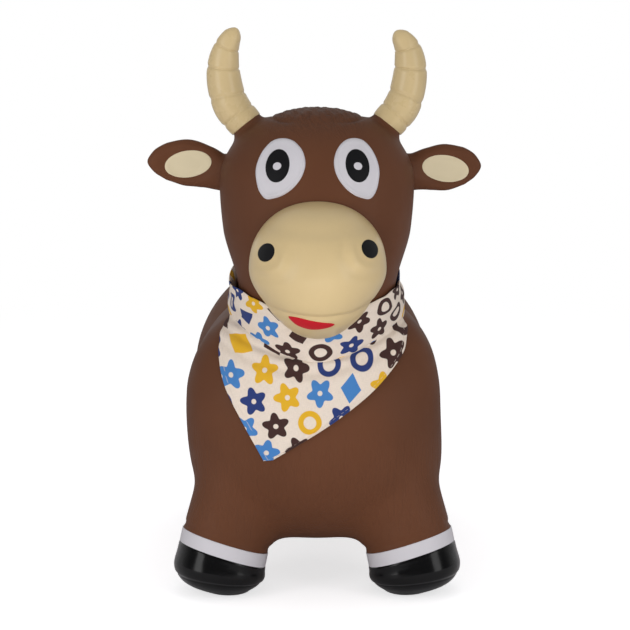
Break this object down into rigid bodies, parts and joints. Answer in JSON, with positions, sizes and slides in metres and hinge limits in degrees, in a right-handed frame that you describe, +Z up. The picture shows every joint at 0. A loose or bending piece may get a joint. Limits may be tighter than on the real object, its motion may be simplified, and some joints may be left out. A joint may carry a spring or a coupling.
{
  "type": "bouncy animal hopper",
  "caption": "Inflated ride-on hopper in the shape of a standing bull, with a soft barrel to sit on, horns to hold, short legs that spring, and a cotton bandana round the neck.",
  "frame": {"origin": "the middle of the bounding box, on the floor", "axes": "the bull faces -Y, +X is its own left, +Z is up"},
  "size_m": [0.342, 0.5521, 0.567],
  "materials": {
    "brown_vinyl": "satin-matt painted soft vinyl",
    "cream_vinyl": "satin painted soft vinyl",
    "white_vinyl": "satin painted soft vinyl",
    "black_vinyl": "gloss painted soft vinyl",
    "red_vinyl": "satin painted soft vinyl",
    "pale_plastic": "plain moulded",
    "printed_cotton": "plain-weave cotton with a printed pattern"
  },
  "bodies": {
    "feet": {"hoof_front_left": "black_vinyl", "hoof_front_right": "black_vinyl", "hoof_rear_left": "black_vinyl", "hoof_rear_right": "black_vinyl"},
    "torso": {"torso_skin": "brown_vinyl", "tail": "brown_vinyl", "valve_seat": "pale_plastic", "leg_front_left": "brown_vinyl", "leg_front_right": "brown_vinyl", "leg_rear_left": "brown_vinyl", "leg_rear_right": "brown_vinyl", "band_front_left": "white_vinyl", "band_front_right": "white_vinyl", "band_rear_left": "white_vinyl", "band_rear_right": "white_vinyl", "bandana_collar": "printed_cotton", "bandana_yoke": "printed_cotton", "bandana_knot": "printed_cotton", "bandana_end_left": "printed_cotton", "bandana_end_right": "printed_cotton"},
    "head": {"head_skin": "brown_vinyl", "muzzle": "cream_vinyl", "eye_white_left": "white_vinyl", "eye_white_right": "white_vinyl", "pupil_left": "black_vinyl", "pupil_right": "black_vinyl", "glint_left": "white_vinyl", "glint_right": "white_vinyl", "nostril_left": "black_vinyl", "nostril_right": "black_vinyl", "mouth": "red_vinyl", "forelock": "brown_vinyl"},
    "ear_left": {"ear_left": "brown_vinyl", "ear_lining_left": "cream_vinyl"},
    "ear_right": {"ear_right": "brown_vinyl", "ear_lining_right": "cream_vinyl"},
    "horn_left": {"horn_left": "cream_vinyl"},
    "horn_right": {"horn_right": "cream_vinyl"},
    "flap": {"bandana_flap": "printed_cotton"},
    "plug": {"air_plug": "pale_plastic"}
  },
  "joints": [
    {"name": "bounce", "type": "slide", "parent": "feet", "child": "torso", "axis": [0, 0, 1], "range_m": [-0.018, 0], "stiffness_N_per_m": 6000, "springref_m": 0.004, "deforming": ["leg_front_left", "leg_front_right", "leg_rear_left", "leg_rear_right", "band_front_left", "band_front_right", "band_rear_left", "band_rear_right"]},
    {"name": "head_nod", "type": "hinge", "parent": "torso", "child": "head", "pos_m": [0, -0.097, 0.278], "axis": [1, 0, 0], "range_deg": [-5, 5], "stiffness_Nm_per_rad": 20},
    {"name": "ear_left_flap", "type": "hinge", "parent": "head", "child": "ear_left", "pos_m": [0.097, -0.092, 0.419], "axis": [0, 1, 0], "range_deg": [-20, 20], "stiffness_Nm_per_rad": 0.6},
    {"name": "ear_right_flap", "type": "hinge", "parent": "head", "child": "ear_right", "pos_m": [-0.097, -0.092, 0.419], "axis": [0, -1, 0], "range_deg": [-20, 20], "stiffness_Nm_per_rad": 0.6},
    {"name": "horn_left_pull", "type": "hinge", "parent": "head", "child": "horn_left", "pos_m": [0.06781, -0.09574, 0.46633], "axis": [1, 0, 0], "range_deg": [-10, 10], "stiffness_Nm_per_rad": 4},
    {"name": "horn_right_pull", "type": "hinge", "parent": "head", "child": "horn_right", "pos_m": [-0.06781, -0.09574, 0.46633], "axis": [1, 0, 0], "range_deg": [-10, 10], "stiffness_Nm_per_rad": 4},
    {"name": "flap_lift", "type": "hinge", "parent": "torso", "child": "flap", "pos_m": [-0.0232, -0.1962, 0.21], "axis": [-0.9914, 0.1305, 0], "range_deg": [0, 35]},
    {"name": "plug_pull", "type": "slide", "parent": "torso", "child": "plug", "axis": [0, 0.7977, -0.6031], "range_m": [0, 0.03]}
  ]
}
